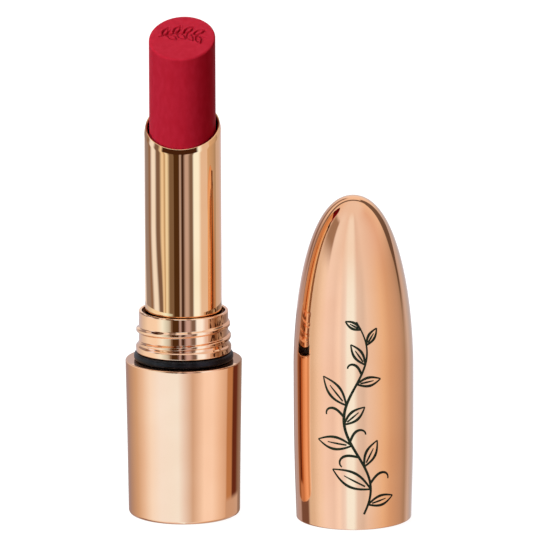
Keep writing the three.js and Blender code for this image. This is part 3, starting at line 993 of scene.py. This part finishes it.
def between_turns(tree, share, place, rise, fall):
    """1 from one turn to another, rising and falling between the two turns given for each."""
    start = tree.step(share, *[share_of(turn, place) for turn in rise])
    end = tree.step(share, *[share_of(turn, place) for turn in fall])
    return tree.sum("MULTIPLY", start, tree.sum("SUBTRACT", 1, end))


STUDIO_STRENGTH = 2.0  # ramps hold half the light, because a colour stops at 1
LOW_WALLS = [
    (-180, (0.34, 0.35, 0.38)),
    (-150, (0.24, 0.22, 0.25)),
    (-132, (0.26, 0.23, 0.26)),
    (-126, (0.10, 0.06, 0.05)),
    (-104, (0.10, 0.06, 0.05)),
    (-98, (0.38, 0.38, 0.38)),
    (-86, (0.40, 0.40, 0.40)),
    (-72, (0.48, 0.51, 0.56)),
    (-58, (0.50, 0.54, 0.66)),
    (-40, (0.46, 0.49, 0.60)),
    (-29, (0.52, 0.58, 0.71)),
    (-22, (0.46, 0.53, 0.68)),
    (-17, (0.48, 0.58, 0.76)),
    (-12, (0.51, 0.74, 1.00)),
    (0, (0.51, 0.74, 1.00)),
    (8, (0.42, 0.48, 0.60)),
    (19, (0.39, 0.43, 0.52)),
    (28, (0.45, 0.48, 0.56)),
    (40, (0.45, 0.45, 0.48)),
    (60, (0.44, 0.39, 0.34)),
    (76, (0.37, 0.30, 0.25)),
    (104, (0.29, 0.24, 0.22)),
    (118, (0.22, 0.19, 0.17)),
    (132, (0.33, 0.33, 0.37)),
    (150, (0.27, 0.29, 0.34)),
    (180, (0.34, 0.35, 0.38)),
]
HIGH_WALLS = [
    (-180, (0.50, 0.47, 0.46)),
    (-120, (0.45, 0.42, 0.42)),
    (-72, (0.46, 0.49, 0.58)),
    (-52, (0.48, 0.54, 0.66)),
    (-28, (0.46, 0.49, 0.58)),
    (-14, (0.50, 0.62, 0.78)),
    (0, (0.50, 0.62, 0.78)),
    (9, (0.42, 0.44, 0.52)),
    (24, (0.46, 0.49, 0.58)),
    (50, (0.44, 0.43, 0.48)),
    (80, (0.42, 0.36, 0.36)),
    (120, (0.46, 0.43, 0.42)),
    (180, (0.50, 0.47, 0.46)),
]


def studio_world():
    """Walls of light round the object: a colour for each compass point, low and high, with a
    dark flag and a dark line on the left and a dark arch behind."""
    world = bpy.data.worlds.new("studio")
    bpy.context.scene.world = world
    world.use_nodes = True
    world.node_tree.nodes.clear()
    tree = Tree(world.node_tree)
    x, y, z = tree.split(tree.add("ShaderNodeTexCoord").outputs["Generated"])
    share = turn_share(tree, x, y)
    rise = tree.sum("ARCSINE", z)

    def between(value, low, high, soft=4):
        """1 inside a soft-edged span given in degrees; the high end may be a socket."""
        above = tree.step(value, math.radians(low - soft), math.radians(low + soft))
        if isinstance(high, (int, float)):
            high = math.radians(high)
        below = tree.step(value, high, tree.sum("ADD", high, math.radians(soft)))
        return tree.sum("MULTIPLY", above, tree.sum("SUBTRACT", 1, below))

    low = tree.ramp(share, round_stops(LOW_WALLS))
    high = tree.ramp(share, round_stops(HIGH_WALLS))
    light = tree.blend(tree.step(rise, math.radians(0), math.radians(28)), low, high)
    ceiling = tree.step(rise, math.radians(50), math.radians(75))
    light = tree.blend(ceiling, light, colour(0.46, 0.48, 0.55))
    turn = tree.sum("MULTIPLY", tree.sum("SUBTRACT", share, 0.5), 2 * math.pi)
    left_flag = tree.sum("MULTIPLY", between(turn, -92, -64, 6), between(rise, 16, 40, 8))
    light = tree.blend(left_flag, light, colour(0.19, 0.155, 0.14))
    off_axis = tree.sum("ARCCOSINE", y)
    wide = tree.sum("MULTIPLY", tree.sum("MAXIMUM", x, 0), between(rise, 4, 46, 5))
    half = tree.sum("ADD", tree.sum("MULTIPLY", wide, math.radians(14)), math.radians(2.5))
    middle = tree.sum("SUBTRACT", math.radians(60), tree.sum("MULTIPLY", wide, math.radians(10)))
    off_arch = tree.sum("ABSOLUTE", tree.sum("SUBTRACT", off_axis, middle))
    edge = tree.sum("ADD", half, math.radians(2.5))
    arch = tree.sum("SUBTRACT", 1, tree.step(off_arch, half, edge))
    arch = tree.sum("MULTIPLY", arch, tree.step(rise, math.radians(-10), math.radians(-1)))
    light = tree.blend(tree.sum("MULTIPLY", arch, 0.92), light, colour(0.06, 0.042, 0.033))
    line = tree.sum("MULTIPLY", between(off_axis, 35, 43, 3), tree.step(rise, math.radians(-8), 0))
    on_left = tree.sum("SUBTRACT", 1, tree.step(x, -0.3, -0.1))
    light = tree.blend(tree.sum("MULTIPLY", line, on_left), light, colour(0.13, 0.095, 0.085))
    shine = tree.add("ShaderNodeBackground", {"Color": light, "Strength": STUDIO_STRENGTH})
    tree.add("ShaderNodeOutputWorld", {"Surface": shine.outputs[0]})
    world.cycles_visibility.diffuse = False
    world.cycles_visibility.camera = False


CARD_RING = 19.0  # radius of the rings of cards round the tube, the collar and the base
CARD_REACH = 21  # millimetres past which the cards aren't seen, so that the cap looks through them
LID_REACH = 11  # the same for the lid over the ridges
LID_HEIGHT = COLLAR_RIM + 4.5
BASE_RADIUS = 10.4  # of the base's wall, halfway up
TUBE_STRIPS = [
    # the turn at which each strip shows on the tube, from and to, and its light
    (-180, -164, (0.45, 0.45, 0.47)),
    (-152, -130, (0.17, 0.16, 0.19)),
    (-122, -116, (0.15, 0.11, 0.10)),
    (-106, -94, (0.49, 0.60, 0.85)),
    (-86, -75, (0.11, 0.085, 0.085)),
    (-67, -62, (0.46, 0.47, 0.47)),
    (-57.5, -56, (0.29, 0.25, 0.20)),
    (-52, -48, (0.47, 0.53, 0.57)),
    (-40, -30, (0.11, 0.085, 0.07)),
    (-24, -12, (0.04, 0.02, 0.008)),
    (-8.5, -7, (0.27, 0.26, 0.34)),
    (-3, 1, (0.025, 0.01, 0.003)),
    (8, 15, (0.30, 0.28, 0.36)),
    (22, 29, (0.11, 0.09, 0.09)),
    (34, 48, (0.53, 0.72, 1.00)),
    (58, 80, (0.42, 0.40, 0.46)),
    (118, 180, (0.34, 0.31, 0.35)),
]
BASE_WALLS = [
    (-180, (0.27, 0.25, 0.25)),
    (-150, (0.20, 0.17, 0.18)),
    (-130, (0.27, 0.23, 0.21)),
    (-110, (0.35, 0.31, 0.27)),
    (-90, (0.44, 0.45, 0.48)),
    (-70, (0.51, 0.63, 0.79)),
    (-48, (0.51, 0.70, 0.98)),
    (-12, (0.50, 0.71, 0.98)),
    (0, (0.45, 0.55, 0.72)),
    (18, (0.35, 0.33, 0.33)),
    (28, (0.42, 0.42, 0.45)),
    (42, (0.52, 0.56, 0.65)),
    (60, (0.52, 0.56, 0.65)),
    (78, (0.45, 0.43, 0.44)),
    (95, (0.38, 0.33, 0.31)),
    # from here to 140, a painted reflection of the cap: dark brown
    (99, (0.27, 0.165, 0.095)),
    (113, (0.27, 0.16, 0.09)),
    (118, (0.065, 0.018, 0.01)),
    (132, (0.07, 0.02, 0.012)),
    (140, (0.13, 0.09, 0.07)),
    (152, (0.16, 0.12, 0.10)),
    (180, (0.27, 0.25, 0.25)),
]
COLLAR_WALLS = [
    (-180, (0.25, 0.25, 0.28)),
    (-141, (0.335, 0.33, 0.38)),
    (-122, (0.40, 0.41, 0.43)),
    (-105, (0.49, 0.52, 0.56)),
    (-75, (0.51, 0.55, 0.60)),
    (-56, (0.50, 0.70, 0.89)),
    (-48, (0.41, 0.58, 0.72)),
    (-38, (0.32, 0.42, 0.50)),
    (-32, (0.19, 0.19, 0.19)),
    (64, (0.38, 0.34, 0.34)),
    (72, (0.28, 0.19, 0.15)),
    (92, (0.12, 0.06, 0.03)),
    (110, (0.25, 0.20, 0.17)),
    (135, (0.16, 0.13, 0.13)),
    (180, (0.25, 0.25, 0.28)),
]


def card_place(turn, radius):
    """Where on the ring a round wall of a radius mirrors what shows at a turn."""
    if abs(turn) == 180:
        return turn
    half = math.radians(turn / 2)
    across = radius * math.cos(half)
    reach = -across + math.sqrt(across**2 + CARD_RING**2 - radius**2)
    x = radius * math.sin(half) + reach * math.sin(2 * half)
    y = across + reach * math.cos(2 * half)
    return math.degrees(math.atan2(x, y))


def on_tube(turn):
    return card_place(turn, TUBE_RADIUS)


def on_collar(turn):
    return card_place(turn, COLLAR_RADIUS)


def on_base(turn):
    return card_place(turn, BASE_RADIUS)


def card_share(tree):
    x, y, z = tree.split(tree.add("ShaderNodeTexCoord").outputs["Object"])
    return turn_share(tree, x, y), z


def tube_light(tree):
    """Bright and dark strips side by side, the left ones leaning in at the foot. There are two
    ramps because one holds 32 stops."""
    share, height = card_share(tree)
    low = tree.sum("SUBTRACT", 1, tree.step(height, 32 * MM, 52 * MM))
    right = tree.step(share, share_of(-70, on_tube), share_of(-50, on_tube))
    left = tree.sum("SUBTRACT", 1, right)
    lean = 0.034
    share = tree.sum("SUBTRACT", share, tree.sum("MULTIPLY", tree.sum("MULTIPLY", low, left), lean))
    ramps = []
    for strips in (TUBE_STRIPS[:9], TUBE_STRIPS[9:]):
        ends = [stop for start, end, light in strips for stop in ((start, light), (end, light))]
        ramps.append(tree.ramp(share, round_stops(ends, on_tube)))
    middle = share_of(-27, on_tube)
    strips = tree.blend(tree.step(share, middle - 0.002, middle + 0.002), *ramps)
    start, end = [tree.sum("SUBTRACT", share, share_of(turn, on_tube)) for turn in (-62, 42)]
    past = tree.step(end, -0.01, 0.01)
    ahead = tree.sum("MULTIPLY", tree.step(start, -0.01, 0.01), tree.sum("SUBTRACT", 1, past))
    above = tree.step(height, (RIM_HEIGHT - 2.6) * MM, (RIM_HEIGHT - 1.6) * MM)
    return tree.blend(tree.sum("MULTIPLY", ahead, above), strips, colour(0.03, 0.012, 0.006))


def collar_light(tree):
    """The collar's walls, mottled on the right with painted dark spots, a painted reflection."""
    share, _ = card_share(tree)
    walls = tree.ramp(share, round_stops(COLLAR_WALLS, on_collar))
    place = tree.add("ShaderNodeTexCoord").outputs["Object"]
    spots = tree.step(grain(tree, place, 420, 2, (1, 1, 1.6)), 0.5, 0.56)
    right = between_turns(tree, share, on_collar, (70, 74), (125, 145))
    return tree.blend(tree.sum("MULTIPLY", spots, right), walls, colour(0.03, 0.012, 0.006))


def lid_light(tree):
    """The lid over the ridges: bright, with dark gaps that draw spots on each ridge."""
    share, _ = card_share(tree)
    bright, dark = (0.50, 0.66, 0.88), (0.03, 0.012, 0.006)
    stops = []
    for start, end in ((-160, -108), (-90, -52), (-34, -20), (8, 14), (62, 84), (94, 116)):
        stops += [(start - 3, bright), (start, dark), (end, dark), (end + 3, bright)]
    return tree.ramp(share, round_stops(stops))


def base_light(tree):
    """Soft walls, with a painted reflection of the cap on the right: a narrow dark strip that stops short
    of the table.
    """
    share, height = card_share(tree)
    walls = tree.ramp(share, round_stops(BASE_WALLS, on_base))
    # painted reflection of the cap on the right; near the table it is painted paler, so it ends short of
    # it
    cap_reflection = between_turns(tree, share, on_base, (95, 98), (138, 150))
    below = tree.sum("SUBTRACT", 1, tree.step(height, 0.4 * MM, 1.8 * MM))
    return tree.blend(tree.sum("MULTIPLY", cap_reflection, below), walls, colour(0.32, 0.27, 0.25))


def near_and_in_front(reach):
    """Only near surfaces that face a card see it; the cap and the camera look past it."""

    def seen(tree):
        behind = tree.add("ShaderNodeNewGeometry").outputs["Backfacing"]
        length = tree.add("ShaderNodeLightPath").outputs["Ray Length"]
        near = tree.sum("LESS_THAN", length, reach * MM)
        return tree.sum("MULTIPLY", near, tree.sum("SUBTRACT", 1, behind))

    return seen


def card(name, material, rings, start=-180, end=180):
    rings = [(radius * MM, height * MM) for radius, height in rings]
    thing = stage_mesh(name, rings, material, 96, (start, end))
    hide_from(thing, "camera", "diffuse", "shadow", "transmission")


def near_cards():
    """Rings of cards, seen only in polish that is close: one round the tube, open towards the
    cap, one round the collar and one round the base. A lid over the ridges lights them."""
    close = near_and_in_front(CARD_REACH)
    tube = glowing("tube_cards", tube_light, STUDIO_STRENGTH, close)
    collar = glowing("collar_cards", collar_light, STUDIO_STRENGTH, close)
    base = glowing("base_cards", base_light, STUDIO_STRENGTH, close)
    lid = glowing("lid_card", lid_light, STUDIO_STRENGTH, near_and_in_front(LID_REACH))
    # a narrow dark strip painted where the tube mirrors the cap: a painted reflection of the cap
    shade = glowing("cap_shade", colour(0.07, 0.025, 0.01), STUDIO_STRENGTH, close)
    top, rim, shoulder, ground = RIM_HEIGHT + 22, COLLAR_RIM - 2.2, SHOULDER - 2, -8
    ring = CARD_RING
    card("tube_cards_front", tube, [(ring, top), (ring, rim)], on_tube(-44), on_tube(80))
    card("tube_cards_low", tube, [(ring, rim), (ring, shoulder)], on_collar(-32), on_collar(66))
    card("tube_cards_left", tube, [(ring, top), (ring, rim)], -180, on_tube(-44))
    card("tube_cards_back", tube, [(ring, top), (ring, rim)], on_tube(118), 180)
    card("cap_shade", shade, [(ring, 62), (ring, rim)], on_tube(97), on_tube(102))
    card("collar_cards_left", collar, [(ring, rim), (ring, shoulder)], -180, on_collar(-32))
    card("collar_cards_right", collar, [(ring, rim), (ring, shoulder)], on_collar(66), 180)
    card("base_cards", base, [(ring, shoulder), (ring, ground)])
    card("lid_card", lid, [(9.0, LID_HEIGHT), (15, LID_HEIGHT)], -220, 40)


def light_studio():
    pale_floor()
    studio_world()
    near_cards()
    soft_lamp("overhead", (-0.25, 0.1, 1.2), (1.0, 1.0), 11.5)
    soft_lamp("left_window", (-0.75, -0.65, 0.3), (0.5, 0.6), 11)
    soft_lamp("right_fill", (0.7, -0.75, 0.2), (0.6, 0.6), 4.5, (1, 0.1, 0.3))
    soft_lamp("back_fill", (-0.2, 0.9, 0.3), (0.6, 0.6), 3, (1, 0.6, 0.6))
    bpy.context.scene.view_settings.view_transform = "Standard"


# ---- everything, in order ----------------------------------------------------------------------
make_camera()
light_studio()
CASE_PIECES = (base_shell, base_plug, shade_label, thread_collar, seal_ring, lipstick_tube, lipstick)
CAP_PIECES = (cap_shell, cap_liner, printed_sprig)
for make in CASE_PIECES + CAP_PIECES:
    make()
dress_mechanism()
